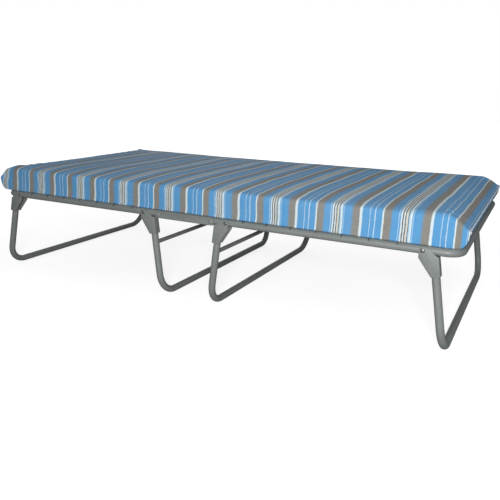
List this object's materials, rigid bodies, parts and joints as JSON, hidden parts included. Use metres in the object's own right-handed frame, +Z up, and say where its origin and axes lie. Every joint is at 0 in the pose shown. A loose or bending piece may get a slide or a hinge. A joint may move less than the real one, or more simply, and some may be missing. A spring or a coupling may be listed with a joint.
{
  "type": "folding rollaway bed",
  "caption": "Folding rollaway bed: rounded tube frame on U-shaped folding legs, hinged links at the middle, a sprung fabric deck and a striped foam mattress.",
  "frame": {"origin": "on the floor under the middle of the overall length and width", "axes": "+X along the bed to its right end as pictured, +Y across the bed away from the viewer, +Z up"},
  "size_m": [1.905, 0.9692, 0.434],
  "materials": {
    "grey_paint": "hammered grey-green paint, low sheen",
    "zinc_steel": "zinc plated",
    "deck_weave": "dark flat woven polypropylene",
    "striped_cover": "cotton ticking, blue, white and taupe stripes across the bed"
  },
  "bodies": {
    "centre_link": {"centre_link_near": "grey_paint", "centre_link_far": "grey_paint", "left_fold_rivet_near": "zinc_steel", "left_fold_rivet_far": "zinc_steel", "right_fold_rivet_near": "zinc_steel", "right_fold_rivet_far": "zinc_steel", "centre_deck_fabric": "deck_weave", "centre_mattress": "striped_cover"},
    "left_half": {"left_frame_tube": "grey_paint", "left_deck_fabric": "deck_weave", "left_spring_row_near": "zinc_steel", "left_spring_row_far": "zinc_steel", "left_spring_row_end": "zinc_steel", "left_mattress": "striped_cover", "left_end_leg_rivet_near": "zinc_steel", "left_end_leg_rivet_far": "zinc_steel", "left_mid_leg_rivet_near": "zinc_steel", "left_mid_leg_rivet_far": "zinc_steel"},
    "right_half": {"right_frame_tube": "grey_paint", "right_deck_fabric": "deck_weave", "right_spring_row_near": "zinc_steel", "right_spring_row_far": "zinc_steel", "right_spring_row_end": "zinc_steel", "right_mattress": "striped_cover", "right_end_leg_rivet_near": "zinc_steel", "right_end_leg_rivet_far": "zinc_steel", "right_mid_leg_rivet_near": "zinc_steel", "right_mid_leg_rivet_far": "zinc_steel"},
    "left_end_leg": {"left_end_leg_tube": "grey_paint", "left_end_leg_bracket_near": "grey_paint", "left_end_leg_bracket_far": "grey_paint"},
    "left_mid_leg": {"left_mid_leg_tube": "grey_paint", "left_mid_leg_bracket_near": "grey_paint", "left_mid_leg_bracket_far": "grey_paint", "left_mid_leg_cross_rod": "grey_paint"},
    "right_mid_leg": {"right_mid_leg_tube": "grey_paint", "right_mid_leg_bracket_near": "grey_paint", "right_mid_leg_bracket_far": "grey_paint", "right_mid_leg_cross_rod": "grey_paint"},
    "right_end_leg": {"right_end_leg_tube": "grey_paint", "right_end_leg_bracket_near": "grey_paint", "right_end_leg_bracket_far": "grey_paint"}
  },
  "joints": [
    {"name": "left_fold", "type": "hinge", "parent": "centre_link", "child": "left_half", "pos_m": [-0.115, 0, 0.326], "axis": [0, 1, 0], "range_deg": [0, 90], "deforming": ["centre_mattress"]},
    {"name": "right_fold", "type": "hinge", "parent": "centre_link", "child": "right_half", "pos_m": [0.109, 0, 0.326], "axis": [0, -1, 0], "range_deg": [0, 90], "deforming": ["centre_mattress"]},
    {"name": "left_end_leg_fold", "type": "hinge", "parent": "left_half", "child": "left_end_leg", "pos_m": [-0.83115, 0, 0.326], "axis": [0, -1, 0], "range_deg": [0, 103.5]},
    {"name": "left_mid_leg_fold", "type": "hinge", "parent": "left_half", "child": "left_mid_leg", "pos_m": [-0.18222, 0, 0.326], "axis": [0, 1, 0], "range_deg": [0, 91]},
    {"name": "right_mid_leg_fold", "type": "hinge", "parent": "right_half", "child": "right_mid_leg", "pos_m": [0.16875, 0, 0.326], "axis": [0, -1, 0], "range_deg": [0, 91.3]},
    {"name": "right_end_leg_fold", "type": "hinge", "parent": "right_half", "child": "right_end_leg", "pos_m": [0.83458, 0, 0.326], "axis": [0, 1, 0], "range_deg": [0, 99.5]}
  ]
}
